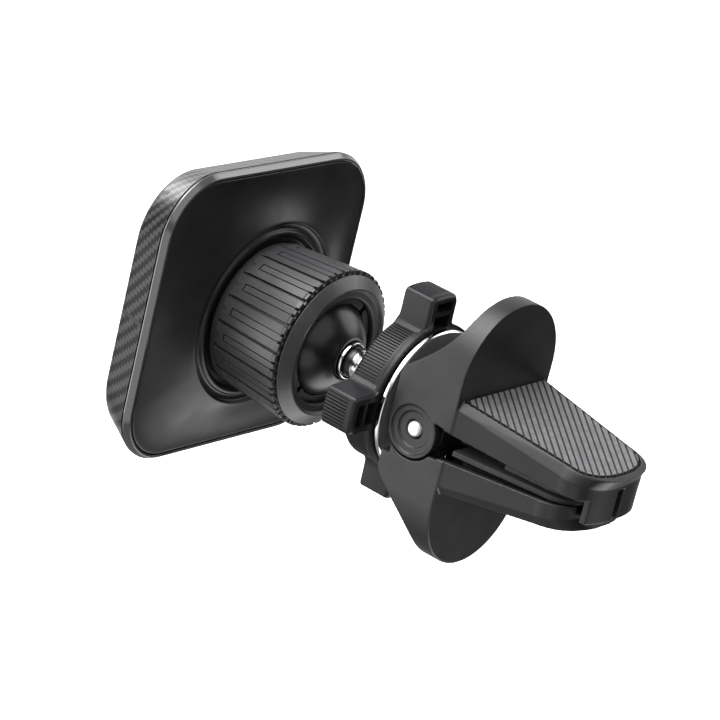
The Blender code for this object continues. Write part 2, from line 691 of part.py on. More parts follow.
def make_liner(name, side, parent, start, shorter):
    """Soft strip on the gripping face, with a rib that keys into the arm's pocket."""
    def near(ahead):
        return 0.55 - 0.01 * (ahead - PADDLE_FRONT)
    plate = arm_outline(start, 1.5, shorter)
    key = arm_outline(start + 1.0, 4.0, shorter)
    liner = loft(name, [arm_section(plate, near, side), arm_section(plate, near, side, 1.0)], RUBBER, parent)
    rib = loft(name + "_rib", [arm_section(key, near, side, 0.5),
                               arm_section(key, inner_level, side, POCKET_DEPTH - GAP)], parent=parent)
    boolean(liner, rib, "UNION")
    return liner


# ---------------------------------------------------------------- assembly


def build():
    head = axis_empty("head_tilt_axis", (0, BALL_Y, 0))
    at_origin = axis_empty("head_frame", (0, -BALL_Y, 0), head)
    for maker in (make_front_shell, make_face_pad, make_bezel_ring, make_back_cover, make_ball_socket,
                  make_socket_screws, make_magnets, make_yoke_plate, make_ball_seat, make_swivel_ball,
                  make_compression_ring, make_ring_nut):
        maker(at_origin)
    clip = axis_empty("clip_axis", (0, 0, 0))
    for maker in (make_ball_stud, make_stud_screw, make_hinge_core, make_hinge_pin, make_torsion_spring,
                  make_thrust_ring, make_lock_nut):
        maker(clip)
    upper = axis_empty("upper_jaw_hinge", (0, PIN_Y, 0), clip)
    lower = axis_empty("lower_jaw_hinge", (0, PIN_Y, 0), clip)
    make_upper_jaw(upper)
    make_lower_jaw(lower)
    make_grip_pad("upper_grip_pad", 1, upper, 0.0)
    make_grip_pad("lower_grip_pad", -1, lower, LOWER_NOSE_SHORTER)
    make_liner("upper_liner", 1, upper, 19.5, 3.4)
    make_liner("lower_liner", -1, lower, PADDLE_FRONT + 0.4, LOWER_NOSE_SHORTER)


build()
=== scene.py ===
"""Looks of a magnetic car phone mount with a screw-locked air-vent clip.

Millimetres throughout, turned into metres by MM. The phone face looks along -Y,
the vent jaws reach out along +Y and +Z is up.
"""
import math

import bmesh
import bpy
from mathutils import Matrix, Vector


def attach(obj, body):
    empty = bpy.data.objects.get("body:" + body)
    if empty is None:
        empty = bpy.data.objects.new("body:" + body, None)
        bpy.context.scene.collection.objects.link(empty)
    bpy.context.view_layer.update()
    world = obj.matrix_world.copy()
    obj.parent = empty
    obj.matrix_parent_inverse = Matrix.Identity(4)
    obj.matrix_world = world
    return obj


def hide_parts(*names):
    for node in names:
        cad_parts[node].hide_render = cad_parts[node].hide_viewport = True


MM = 0.001
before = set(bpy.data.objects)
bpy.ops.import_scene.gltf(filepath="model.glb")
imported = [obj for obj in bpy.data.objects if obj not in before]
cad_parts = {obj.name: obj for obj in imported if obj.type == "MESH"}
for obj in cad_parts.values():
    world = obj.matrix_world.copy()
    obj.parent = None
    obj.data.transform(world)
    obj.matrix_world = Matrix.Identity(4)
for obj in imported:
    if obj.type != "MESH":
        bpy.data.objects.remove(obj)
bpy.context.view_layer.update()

# ---------------------------------------------------------------- shape facts shared with the CAD

PLATE_CORNER = 12.5
BALL_Y = 26.0
PIN_Y = 62.6
JAW_HALF_WIDTH = 14.0
PADDLE_FRONT, PADDLE_TOP = 8.4, 26.4
NOSE_START, NOSE_LENGTH, NOSE_HALF_WIDTH = 31.0, 8.0, 11.2
LOWER_NOSE_SHORTER = 3.1
EYE_RADIUS = 5.4
RIM_WIDTH = 1.6
PAD_DEPTH = 1.2
POCKET_DEPTH = 1.6
GAP = 0.3
RING_PANELS = 18
LUG_RADIUS, LUG_WIDTH = 21.0, 7.5
LOCK_NUT_BACK_Y, LOCK_NUT_FRONT_Y = 46.8, 54.1
LUG_TURN = math.radians(1.0)
LUG_WINDOWS = ((1.8, 17.8), (2.5, 14.4))

# ---------------------------------------------------------------- node helpers


class Nodes:
    """Short-hand for building one material."""

    def __init__(self, name):
        self.material = bpy.data.materials.new(name)
        self.material.use_nodes = True
        self.tree = self.material.node_tree
        self.shader = self.tree.nodes["Principled BSDF"]

    def add(self, kind, inputs=None, **settings):
        node = self.tree.nodes.new("ShaderNode" + kind)
        for key, value in settings.items():
            setattr(node, key, value)
        for key, value in (inputs or {}).items():
            self.put(node.inputs[key], value)
        return node

    def put(self, socket, value):
        if isinstance(value, bpy.types.NodeSocket):
            self.tree.links.new(value, socket)
        else:
            socket.default_value = value

    def place(self):
        return self.add("TexCoord").outputs["Object"]

    def math(self, operation, *values):
        node = self.add("Math", operation=operation)
        for socket, value in zip(node.inputs, values):
            self.put(socket, value)
        return node.outputs[0]

    def noise(self, scale, detail=2.0, roughness=0.5):
        node = self.add("TexNoise", {"Scale": scale, "Detail": detail, "Roughness": roughness})
        self.put(node.inputs["Vector"], self.place())
        return node.outputs["Fac"]

    def remap(self, value, low, high, new_low, new_high):
        node = self.add("MapRange", {"Value": value, "From Min": low, "From Max": high,
                                     "To Min": new_low, "To Max": new_high})
        return node.outputs["Result"]

    def mix(self, share, first, second):
        node = self.add("Mix", data_type="RGBA")
        self.put(node.inputs["Factor"], share)
        for key, colour in ((6, first), (7, second)):
            value = colour if isinstance(colour, bpy.types.NodeSocket) else (*colour, 1.0)
            self.put(node.inputs[key], value)
        return node.outputs[2]

    def bump(self, height, distance, strength=1.0):
        node = self.add("Bump", {"Height": height, "Distance": distance * MM, "Strength": strength})
        return node.outputs["Normal"]

    def set(self, **values):
        for key, value in values.items():
            self.put(self.shader.inputs[key.replace("_", " ")], value)


def edge_wear(n):
    """0 on flats and 1 on sharp outer edges."""
    pointiness = n.add("NewGeometry").outputs["Pointiness"]
    return n.remap(pointiness, 0.505, 0.56, 0.0, 1.0)


def moulded_plastic(name, colour, roughness, grain=0.02, specular=0.5, wear=0.35):
    """Spark-eroded moulding: fine grain, slow gloss changes and slightly polished edges."""
    n = Nodes(name)
    slow = n.noise(90.0, 3.0)
    fine = n.noise(3200.0, 2.0, 0.6)
    lighter = tuple(c * 1.22 + 0.002 for c in colour)
    base = n.mix(n.remap(slow, 0.35, 0.65, 0.0, 1.0), colour, lighter)
    worn = tuple(c * 1.7 + 0.012 for c in colour)
    rubbed = n.math("MULTIPLY", edge_wear(n), wear)
    base = n.mix(n.math("MULTIPLY", rubbed, n.remap(n.noise(420.0), 0.3, 0.7, 0.3, 1.0)), base, worn)
    gloss = n.remap(n.noise(240.0, 4.0), 0.3, 0.7, roughness - 0.045, roughness + 0.045)
    gloss = n.math("SUBTRACT", gloss, n.math("MULTIPLY", rubbed, 0.12))
    n.put(n.shader.inputs["Base Color"], base)
    n.put(n.shader.inputs["Roughness"], gloss)
    n.set(Specular_IOR_Level=specular)
    n.put(n.shader.inputs["Normal"], n.bump(fine, grain))
    return n.material


def soft_rubber(name, colour, roughness):
    n = Nodes(name)
    dust = n.remap(n.noise(700.0, 4.0, 0.65), 0.4, 0.75, 0.0, 1.0)
    n.put(n.shader.inputs["Base Color"], n.mix(dust, colour, tuple(c * 1.6 + 0.004 for c in colour)))
    n.put(n.shader.inputs["Roughness"],
          n.remap(n.noise(300.0, 3.0), 0.3, 0.7, roughness - 0.06, roughness + 0.06))
    n.put(n.shader.inputs["Normal"], n.bump(n.noise(2400.0, 3.0, 0.65), 0.035))
    n.set(Sheen_Weight=0.12, Sheen_Roughness=0.5)
    return n.material


def polished(name, colour, roughness, metallic, scratch=0.004, coat=0.0):
    n = Nodes(name)
    n.put(n.shader.inputs["Base Color"], n.mix(n.remap(n.noise(160.0, 3.0), 0.35, 0.65, 0.0, 1.0), colour,
                                               tuple(min(1.0, c * 0.93) for c in colour)))
    n.put(n.shader.inputs["Roughness"],
          n.remap(n.noise(900.0, 5.0, 0.7), 0.35, 0.75, roughness, roughness + 0.05))
    n.put(n.shader.inputs["Normal"], n.bump(n.noise(500.0, 2.0), scratch))
    n.set(Metallic=metallic, Coat_Weight=coat, Coat_Roughness=0.03)
    return n.material


def turned_metal(name, colour, roughness, metallic=1.0):
    """Metal with fine lathe lines round the Y axis."""
    n = Nodes(name)
    split = n.add("SeparateXYZ", {"Vector": n.place()})
    radius = n.math("SQRT", n.math("ADD", n.math("POWER", split.outputs["X"], 2.0),
                                   n.math("POWER", split.outputs["Z"], 2.0)))
    rings = n.math("SINE", n.math("MULTIPLY", n.math("ADD", radius, split.outputs["Y"]),
                                  2 * math.pi / (0.22 * MM)))
    n.put(n.shader.inputs["Base Color"], n.mix(n.remap(n.noise(200.0, 3.0), 0.3, 0.7, 0.0, 1.0), colour,
                                               tuple(c * 0.9 for c in colour)))
    n.put(n.shader.inputs["Roughness"], n.remap(n.noise(700.0, 4.0), 0.3, 0.7, roughness, roughness + 0.06))
    n.put(n.shader.inputs["Normal"], n.bump(rings, 0.0012))
    n.set(Metallic=metallic)
    return n.material


def carbon_twill(name):
    """2 x 2 twill under a clear lacquer; tow places come from the mesh's weave attribute."""
    tow = 0.85
    n = Nodes(name)
    place = n.add("Attribute", attribute_name="weave").outputs["Vector"]
    split = n.add("SeparateXYZ", {"Vector": place})
    across = n.math("DIVIDE", split.outputs["X"], tow)
    along = n.math("DIVIDE", split.outputs["Y"], tow)
    cell_a, cell_b = n.math("FLOOR", across), n.math("FLOOR", along)
    step = n.math("MODULO", n.math("ADD", n.math("SUBTRACT", cell_a, cell_b), 4000.0), 4.0)
    warp = n.math("LESS_THAN", step, 1.5)
    in_a, in_b = n.math("FRACT", across), n.math("FRACT", along)
    round_a = n.math("SINE", n.math("MULTIPLY", in_a, math.pi))
    round_b = n.math("SINE", n.math("MULTIPLY", in_b, math.pi))
    crown = n.add("Mix", data_type="FLOAT")
    n.put(crown.inputs["Factor"], warp)
    n.put(crown.inputs[2], round_b)
    n.put(crown.inputs[3], round_a)
    fibre_line = n.add("Mix", data_type="FLOAT")
    n.put(fibre_line.inputs["Factor"], warp)
    for key, value in ((2, along), (3, across)):
        n.put(fibre_line.inputs[key], n.math("SINE", n.math("MULTIPLY", value, 2 * math.pi * 5.0)))
    height = n.math("ADD", n.math("MULTIPLY", crown.outputs[0], 0.8),
                    n.math("MULTIPLY", fibre_line.outputs[0], 0.06))
    # Painted sheen: tows running one way are coloured light and the other way dark, and each tow is lighter
    # on its crown; the weave itself is real.
    shaded_tow = n.mix(crown.outputs[0], (0.002, 0.002, 0.0023), (0.004, 0.004, 0.0045))
    sheen_tow = n.mix(crown.outputs[0], (0.04, 0.04, 0.0415), (0.06, 0.06, 0.062))
    patch = n.remap(n.noise(60.0, 2.0), 0.3, 0.7, 0.85, 1.0)
    base = n.mix(n.math("MULTIPLY", warp, patch), shaded_tow, sheen_tow)
    n.put(n.shader.inputs["Base Color"], base)
    n.put(n.shader.inputs["Roughness"], n.remap(warp, 0.0, 1.0, 0.42, 0.3))
    n.put(n.shader.inputs["Normal"], n.bump(height, 0.03, 0.45))
    n.set(Specular_IOR_Level=0.3, Coat_Weight=0.5, Coat_Roughness=0.16)
    return n.material


COVER_BLACK = moulded_plastic("cover_black", (0.011, 0.011, 0.012), 0.34, 0.01, specular=0.33)
KNOB_BLACK = moulded_plastic("knob_black", (0.036, 0.036, 0.038), 0.34, 0.01)
BALL_BLACK = moulded_plastic("ball_black", (0.003, 0.003, 0.0035), 0.3, 0.005, wear=0.0)
# Near-black for the knob's hollow, its panel-end gap and the socket deep inside: painted shade.
SHADED_RECESS_BLACK = moulded_plastic("shaded_recess_black", (0.008, 0.008, 0.009), 0.5)
GRAPHITE = moulded_plastic("graphite", (0.017, 0.017, 0.0185), 0.36, 0.012, specular=0.36)
NUT_GRAPHITE = moulded_plastic("nut_graphite", (0.008, 0.008, 0.0095), 0.4, 0.012, specular=0.28)
NYLON = moulded_plastic("nylon", (0.72, 0.71, 0.67), 0.5)
PAD_RUBBER = soft_rubber("pad_rubber", (0.098, 0.098, 0.102), 0.55)
FACE_RUBBER = soft_rubber("face_rubber", (0.016, 0.016, 0.017), 0.75)
LINER_RUBBER = soft_rubber("liner_rubber", (0.022, 0.022, 0.024), 0.6)
# Darker copy of the pad rubber for the groove faces: painted shade.
GROOVE_SHADE_RUBBER = soft_rubber("groove_shade_rubber", (0.006, 0.006, 0.0065), 0.75)
PIANO = polished("polished_bevel", (0.09, 0.09, 0.094), 0.05, 0.28, coat=1.0)
CHROME = polished("chrome_plate", (0.9, 0.9, 0.92), 0.02, 1.0, 0.0002)
TURNED_CHROME = turned_metal("turned_chrome", (0.93, 0.93, 0.94), 0.07)
SATIN_FACE = turned_metal("satin_face", (0.3, 0.3, 0.305), 0.4, 0.6)
STEEL = turned_metal("bright_steel", (0.72, 0.72, 0.73), 0.28)
PIN_STEEL = polished("pin_steel", (0.86, 0.86, 0.87), 0.35, 0.5, 0.002)
MAGNET = polished("nickel", (0.7, 0.69, 0.66), 0.2, 1.0)
SPRING = polished("spring_wire", (0.4, 0.4, 0.42), 0.3, 1.0)
TWILL = carbon_twill("carbon_twill")

# ---------------------------------------------------------------- mesh helpers


def new_object(name, mesh, material):
    thing = bpy.data.objects.new(name, mesh)
    bpy.context.scene.collection.objects.link(thing)
    mesh.materials.clear()
    mesh.materials.append(material)
    return thing


def mesh_of(shape, name, smooth=True):
    bmesh.ops.recalc_face_normals(shape, faces=shape.faces)
    mesh = bpy.data.meshes.new(name)
    shape.to_mesh(mesh)
    shape.free()
    if smooth:
        mesh.shade_smooth()
    return mesh


def skin(name, loops, material, ring=False, caps=True):
    """Quads between matching closed loops of points."""
    shape = bmesh.new()
    rows = [[shape.verts.new(Vector(point) * MM) for point in loop] for loop in loops]
    count = len(rows[0])
    pairs = list(zip(rows, rows[1:])) + ([(rows[-1], rows[0])] if ring else [])
    for lower, upper in pairs:
        for i in range(count):
            j = (i + 1) % count
            shape.faces.new((lower[i], lower[j], upper[j], upper[i]))
    if not ring and caps:
        shape.faces.new(rows[0])
        shape.faces.new(rows[-1])
    return new_object(name, mesh_of(shape, name), material)


def even_normals(thing):
    """Flat faces keep flat normals and small rounding faces take up the turn."""
    modifier = thing.modifiers.new("normals", "WEIGHTED_NORMAL")
    modifier.weight = 100
    modifier.keep_sharp = True
    return thing


def bevelled(thing, width, segments=2, angle=30):
    modifier = thing.modifiers.new("edges", "BEVEL")
    modifier.width = width * MM
    modifier.segments = segments
    modifier.limit_method = "ANGLE"
    modifier.angle_limit = math.radians(angle)
    modifier.use_clamp_overlap = True
    return even_normals(thing)


def apply_modifiers(thing):
    bpy.context.view_layer.update()
    mesh = bpy.data.meshes.new_from_object(thing.evaluated_get(bpy.context.evaluated_depsgraph_get()))
    old = thing.data
    thing.modifiers.clear()
    thing.data = mesh
    bpy.data.meshes.remove(old)
    return thing


def boolean(thing, other, operation="DIFFERENCE"):
    modifier = thing.modifiers.new(operation, "BOOLEAN")
    modifier.operation = operation
    modifier.object = other
    apply_modifiers(thing)
    bpy.data.objects.remove(other, do_unlink=True)
    return thing


FINE_VOXEL, QUICK_VOXEL = 0.16, 0.3
RELAX_ROUNDS = 3
MOST_TRIANGLES = 60000


def soften(thing):
    """Moulded edges: remesh finely, relax, then thin out the flats."""
    remesh = thing.modifiers.new("remesh", "REMESH")
    remesh.mode = "VOXEL"
    remesh.voxel_size = FINE_VOXEL * MM
    relax = thing.modifiers.new("relax", "SMOOTH")
    relax.factor = 0.5
    relax.iterations = RELAX_ROUNDS
    apply_modifiers(thing)
    now = 2 * len(thing.data.polygons)
    if now > MOST_TRIANGLES:
        thin = thing.modifiers.new("thin", "DECIMATE")
        thin.ratio = MOST_TRIANGLES / now
        apply_modifiers(thing)
    thing.data.shade_smooth()
    return thing


def filleted(points, radius, steps=3):
    """Round each inner corner of an open polyline; a point may carry its own radius."""
    result = [points[0][:2]]
    for before, here, after in zip(points, points[1:], points[2:]):
        size = here[2] if len(here) > 2 else radius
        a, b, c = Vector(before[:2]), Vector(here[:2]), Vector(after[:2])
        reach = min(size, (a - b).length * 0.45, (c - b).length * 0.45)
        start, end = b + (a - b).normalized() * reach, b + (c - b).normalized() * reach
        for i in range(steps + 1):
            t = i / steps
            result.append(tuple(start * (1 - t) ** 2 + b * 2 * t * (1 - t) + end * t * t))
    result.append(points[-1][:2])
    return result


def circle(radius, y, count):
    return [(radius * math.sin(2 * math.pi * i / count), y, radius * math.cos(2 * math.pi * i / count))
            for i in range(count)]


def lathe(name, profile, material, steps=128, closed=False):
    """Turn (radius, y) points about the Y axis; ends on the axis close to a point."""
    loops = [circle(max(radius, 0.002), y, steps) for radius, y in profile]
    return skin(name, loops, material, ring=closed, caps=not closed)


def box(name, size, centre, turn=(0, 0, 0)):
    shape = bmesh.new()
    bmesh.ops.create_cube(shape, size=1)
    bmesh.ops.scale(shape, vec=Vector(size) * MM, verts=shape.verts)
    thing = new_object(name, mesh_of(shape, name, False), GRAPHITE)
    thing.rotation_euler = turn
    thing.location = Vector(centre) * MM
    return thing


def cylinder(name, radius, length, centre, axis, sides=96):
    shape = bmesh.new()
    bmesh.ops.create_cone(shape, cap_ends=True, segments=sides, radius1=radius * MM, radius2=radius * MM,
                          depth=length * MM)
    thing = new_object(name, mesh_of(shape, name, False), GRAPHITE)
    thing.rotation_euler = {"X": (0, math.pi / 2, 0), "Y": (-math.pi / 2, 0, 0), "Z": (0, 0, 0)}[axis]
    thing.location = Vector(centre) * MM
    return thing


def prism(name, outline, low, high, axis):
    """Outline thickened along an axis: (y, z) for X, (x, z) for Y, (x, y) for Z."""
    def point(a, b, level):
        return {"X": (level, a, b), "Y": (a, level, b), "Z": (a, b, level)}[axis]
    loops = [[point(a, b, level) for a, b in outline] for level in (low, high)]
    thing = skin(name, loops, GRAPHITE)
    thing.data.shade_flat()
    return thing


def stand_in(thing, body, slot, *nodes):
    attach(thing, body)
    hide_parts(*nodes)
    return thing


# ---------------------------------------------------------------- magnetic plate

PLATE_POINTS = 240


def square_loop(half, corner, y):
    """Rounded square of half width and corner radius, at one level."""
    loop = []
    for i in range(PLATE_POINTS):
        angle = 2 * math.pi * (i + 0.5) / PLATE_POINTS
        across, up = math.cos(angle), math.sin(angle)
        wide, narrow = max(abs(across), abs(up)), min(abs(across), abs(up))
        distance = half / wide
        inner = half - corner
        if distance * narrow > inner:
            along = inner * (wide + narrow)
            distance = along + math.sqrt(along * along - 2 * inner * inner + corner * corner)
        loop.append((distance * across, y, distance * up))
    return loop


def ring_loop(radius, y):
    angles = [2 * math.pi * (i + 0.5) / PLATE_POINTS for i in range(PLATE_POINTS)]
    return [(radius * math.cos(angle), y, radius * math.sin(angle)) for angle in angles]


def add_weave(thing, loops):
    """Store arc length round the plate and distance along the wall, in mm, at every vertex."""
    middle = square_loop(28.6, PLATE_CORNER, 0.0)
    around = [0.0]
    for a, b in zip(middle, middle[1:] + middle[:1]):
        around.append(around[-1] + (Vector(b) - Vector(a)).length)
    up = [0.0]
    for a, b in zip(loops, loops[1:]):
        up.append(up[-1] + (Vector(b[0]) - Vector(a[0])).length)
    data = thing.data.attributes.new("weave", "FLOAT_VECTOR", "POINT")
    for row in range(len(loops)):
        for i in range(PLATE_POINTS):
            data.data[row * PLATE_POINTS + i].vector = (around[i], up[row], 0.0)


def make_shell():
    outer = filleted([(24.0, 0.4), (27.0, 0.4, 1.3), (29.75, 8.4, 0.12), (27.9, 8.4, 0.1), (26.0, 3.2, 0.3),
                      (24.0, 3.0)], 0.2, 5)
    wall = []
    for (a, b), (c, d) in zip(outer, outer[1:]):
        pieces = max(1, int(math.hypot(c - a, d - b) / 0.8))
        wall += [(a + (c - a) * i / pieces, b + (d - b) * i / pieces) for i in range(pieces)]
    wall.append(outer[-1])
    loops = [square_loop(half, min(PLATE_CORNER, half - 10.0), y) for half, y in wall]
    inner = [(23.6, 0.5), (23.3, 0.7), (23.3, 1.5), (0.01, 1.5)]
    front = [square_loop(half, 9.5 if half > 1 else half * 0.4, y) for half, y in reversed(inner)]
    floor = [square_loop(15.0, 9.0, 3.0), square_loop(0.01, 0.004, 3.0)]
    rows = front + loops + floor
    shell = skin("woven_shell", rows, TWILL)
    add_weave(shell, rows)
    shell.data.materials.append(COVER_BLACK)
    for face in shell.data.polygons:
        centre = face.center / MM
        if max(abs(centre.x), abs(centre.z)) < 24.5 or centre.y > 8.39:
            face.material_index = 1
    even_normals(shell)
    return stand_in(shell, "head", "weave_shell", "front_shell")


def make_bezel():
    points = filleted([(28.7, 8.7), (29.75, 8.7, 0.08), (29.75, 9.02, 0.1), (29.05, 10.05, 0.07),
                       (28.6, 10.05, 0.06), (28.6, 8.75, 0.05)], 0.08, 3)
    loops = [square_loop(half, PLATE_CORNER - 29.75 + half, y) for half, y in points]
    return stand_in(even_normals(skin("polished_bevel_ring", loops, PIANO, ring=True)), "head",
                    "polished_black", "bezel_ring")


def make_cover():
    edge = square_loop(28.3, PLATE_CORNER - 1.45, 10.0)
    moat = ring_loop(19.15, 13.5)
    loops = [square_loop(26.8, 9.6, 8.8), square_loop(28.3, PLATE_CORNER - 1.45, 8.8),
             square_loop(28.3, PLATE_CORNER - 1.45, 9.8), square_loop(28.26, PLATE_CORNER - 1.5, 9.93),
             square_loop(28.15, PLATE_CORNER - 1.6, 10.0)]
    for i in range(1, 22):
        share = i / 22
        y = 10.0 + 3.5 * share ** 1.8
        loops.append([(a[0] + (b[0] - a[0]) * share, y, a[2] + (b[2] - a[2]) * share)
                      for a, b in zip(edge, moat)])
    ring = filleted([(19.25, 13.42), (19.0, 13.5, 0.12), (18.55, 12.7, 0.3), (17.45, 12.6, 0.3),
                     (17.0, 13.22, 0.16), (16.45, 13.32, 0.2), (15.75, 12.2, 0.3), (13.6, 12.0, 0.2),
                     (13.6, 10.2)], 0.15, 4)
    loops += [ring_loop(radius, y) for radius, y in ring]
    loops += [ring_loop(19.0, 10.2), square_loop(26.8, 9.6, 8.85)]
    cover = even_normals(skin("rear_cover", loops, COVER_BLACK, ring=True))
    return stand_in(cover, "head", "satin_black_plastic", "back_cover")


def make_face_pad():
    points = filleted([(0.01, 0.02), (20.9, 0.02, 0.1), (21.05, 0.2, 0.05), (21.3, 0.2, 0.05),
                       (21.45, 0.0, 0.1), (22.95, 0.0, 0.45), (23.0, 1.2, 0.1), (0.01, 1.2)], 0.1, 4)
    loops = [square_loop(half, 9.2 if half > 10 else half * 0.4, y) for half, y in points]
    return stand_in(even_normals(skin("face_pad", loops, FACE_RUBBER)), "head", "black_rubber",
                    "phone_face_pad")


# ---------------------------------------------------------------- ball joint

REPEAT = 360 / RING_PANELS
GROOVE_TURN = 4.0
GROOVE_HALF, GROOVE_DEPTH = 1.2, 0.75
LINE_AT, LINE_HALF, LINE_DEPTH = 2.6, 0.42, 0.42
TEETH_FROM_Y, TOOTH_GAP_HALF, TOOTH_DEPTH = 29.9, 1.05, 0.85
LINE_START_Y = 16.9


def panel_offset(local, y):
    """How far the knob's panels stand above (+) or below their cone at this angle and height."""
    from_middle = abs(local - REPEAT / 2)
    if y > TEETH_FROM_Y:
        groove = REPEAT / 2 - from_middle < GROOVE_HALF + 0.35
        return -TOOTH_DEPTH if groove or abs(from_middle - LINE_AT) < TOOTH_GAP_HALF else 0.0
    if local < GROOVE_HALF or local > REPEAT - GROOVE_HALF:
        return -GROOVE_DEPTH
    inside = from_middle < LINE_AT - LINE_HALF
    on_line = abs(from_middle - LINE_AT) <= LINE_HALF
    if on_line and y > LINE_START_Y - 0.2:
        return -LINE_DEPTH
    if inside and LINE_START_Y - 0.2 < y < LINE_START_Y + 0.1:
        return -LINE_DEPTH
    start = 14.45 if local < REPEAT / 2 else 15.15
    if y < start:
        return -0.22
    return 0.06 - 0.12 * (local / REPEAT)


def knob_angles():
    half = REPEAT / 2
    places = [0.0, 0.6, GROOVE_HALF - 0.06, GROOVE_HALF + 0.06, GROOVE_HALF + 0.3, GROOVE_HALF + 0.4,
              4.0, 5.6]
    for side in (-1, 1):
        for edge in (-1, 1):
            at = half + side * LINE_AT + edge * LINE_HALF
            places += [at - 0.04, at + 0.04]
            gap_edge = half + side * LINE_AT + edge * TOOTH_GAP_HALF
            places += [gap_edge - 0.04, gap_edge + 0.04]
        places.append(half + side * LINE_AT)
    places += [half - 1.0, half, half + 1.0]
    places += [REPEAT - p for p in places[1:8]]
    return sorted(set(round(p, 4) for p in places))


def make_knob():
    cone = lambda y: 15.05 + (y - 14.6) * 1.25 / 16.1
    heights = [14.4, 14.5, 15.1, 15.2, 16.0, 16.68, 16.74, 16.96, 17.02, 18.2]
    heights += ([18.2 + (29.6 - 18.2) * i / 9 for i in range(1, 10)]
                + [29.86, 29.94, 30.2, 30.3, 30.5, 30.56, 30.62])
    columns = [(panel * REPEAT + place, place) for panel in range(RING_PANELS) for place in knob_angles()]

    def loop(radii, y):
        points = []
        for (turn, _), radius in zip(columns, radii):
            angle = math.radians(GROOVE_TURN + turn)
            points.append((radius * math.sin(angle), y, radius * math.cos(angle)))
        return points

    loops = []
    base = filleted([(13.6, 12.95), (14.45, 12.8, 0.15), (14.72, 13.1, 0.25), (14.8, 14.3)], 0.1, 3)
    loops += [loop([radius] * len(columns), y) for radius, y in base]
    for y in heights:
        tuck = {30.5: 0.02, 30.56: 0.07, 30.62: 0.2}.get(y, 0.0)
        loops.append(loop([min(cone(y) + panel_offset(local, y), 16.3) - tuck for _, local in columns], y))
    lip = filleted([(14.7, 30.66), (14.6, 30.72, 0.05), (14.6, 31.0, 0.06), (15.4, 31.02, 0.08),
                    (15.42, 31.16, 0.1), (13.15, 32.72, 0.12), (12.85, 32.75, 0.08), (12.6, 32.3, 0.1),
                    (12.42, 32.1, 0.1),
                    (11.15, 32.0, 0.2), (10.95, 31.5, 0.2), (11.0, 30.75, 0.1), (13.6, 30.7, 0.1),
                    (13.6, 13.0)], 0.1, 4)
    loops += [loop([radius] * len(columns), y) for radius, y in lip]
    knob = skin("grip_ring_nut", loops, KNOB_BLACK, ring=True)
    knob.data.materials.append(SHADED_RECESS_BLACK)
    # Painted shade: the inside of the lip and the gap between the panel ends and the lip take the near-black
    # material.
    for face in knob.data.polygons:
        centre = face.center / MM
        radius = math.hypot(centre.x, centre.z)
        if centre.y > 30.6 and (radius < 12.55 or (radius < 15.5 and centre.y < 31.01)):
            face.material_index = 1
    knob.data.set_sharp_from_angle(angle=math.radians(50))
    even_normals(knob)
    return stand_in(knob, "ring_nut", "satin_black_plastic", "clamp_ring_nut")


def make_ball():
    radius, bore = 10.5, 3.9
    start = math.degrees(math.acos(bore / radius))
    arc = [(radius * math.cos(math.radians(a)), BALL_Y + radius * math.sin(math.radians(a)))
           for a in [start - 0.8 - (start + 88.6) * i / 60 for i in range(61)]]
    top = BALL_Y + radius * math.sin(math.radians(start))
    profile = ([(0.01, 22.0), (bore, 22.0)]
               + filleted([(bore, 24.0), (bore, top - 0.02, 0.12), arc[0]], 0.1, 4) + arc)
    return stand_in(lathe("swivel_ball_dome", profile, BALL_BLACK, 160), "swivel_ball", "satin_black_plastic",
                    "swivel_ball")


FOOT_GROOVE_Y, FOOT_SHADE_Y, FOOT_SHADE_RADIUS = 36.2, 38.3, 3.42


def make_stud():
    """Chrome stud; the groove round its foot and the foot itself take the ball's black material as painted
    shade.
    """
    profile = filleted([(0.01, 54.7), (3.0, 54.7, 0.3), (3.0, 46.0, 0.05), (5.55, 46.0, 0.1),
                        (5.6, 45.4, 0.3), (4.2, 43.6, 0.8), (3.0, 41.4, 0.8), (2.75, 40.4, 0.6)], 0.2, 6)
    for i in range(15):
        angle = math.radians(42 - 42 * i / 14)
        profile.append((3.1 * math.cos(angle) ** 0.9, 37.0 + 3.4 * math.sin(angle)))
    profile += filleted([(3.1, 36.9), (3.02, 36.35, 0.15), (3.3, 36.3, 0.1), (3.4, 36.62, 0.1),
                         (3.72, 36.6, 0.12), (3.78, 36.1, 0.1), (3.6, 35.6, 0.1), (3.6, 22.6, 0.1),
                         (0.01, 22.6)], 0.1, 5)
    stud = lathe("chrome_stud", profile, CHROME, 128)
    stud.data.materials.append(BALL_BLACK)
    # Painted shade: foot-groove and foot faces below FOOT_SHADE_Y, inside FOOT_SHADE_RADIUS, take the black
    # material where the chrome sits in the dark gap.
    for face in stud.data.polygons:
        centre = face.center / MM
        if FOOT_GROOVE_Y < centre.y < FOOT_SHADE_Y and math.hypot(centre.x, centre.z) < FOOT_SHADE_RADIUS:
            face.material_index = 1
    return stand_in(stud, "clip_core", "chrome", "ball_stud")


# ---------------------------------------------------------------- lock nut and thrust ring

RIBS = 148
RIB_PLACES = [(0.0, 0.0), (0.05, 0.34), (0.33, 0.34), (0.38, 0.02), (0.46, 0.0), (0.84, 0.0)]


def lug_outline():
    half = LUG_WIDTH / 2
    right = [(half + 1.3, 13.4), (half + 0.4, 14.4), (half + 0.1, 15.1), (half, 16.2), (half, 20.0),
             (half - 0.18, 20.45), (half - 0.6, 20.68)]
    top = [(x, LUG_RADIUS - 0.04 - 0.022 * x * x) for x in (2.4, 1.6, 0.8, 0.0)]
    right += top
    return right + [(-x, z) for x, z in reversed(right[:-1])]


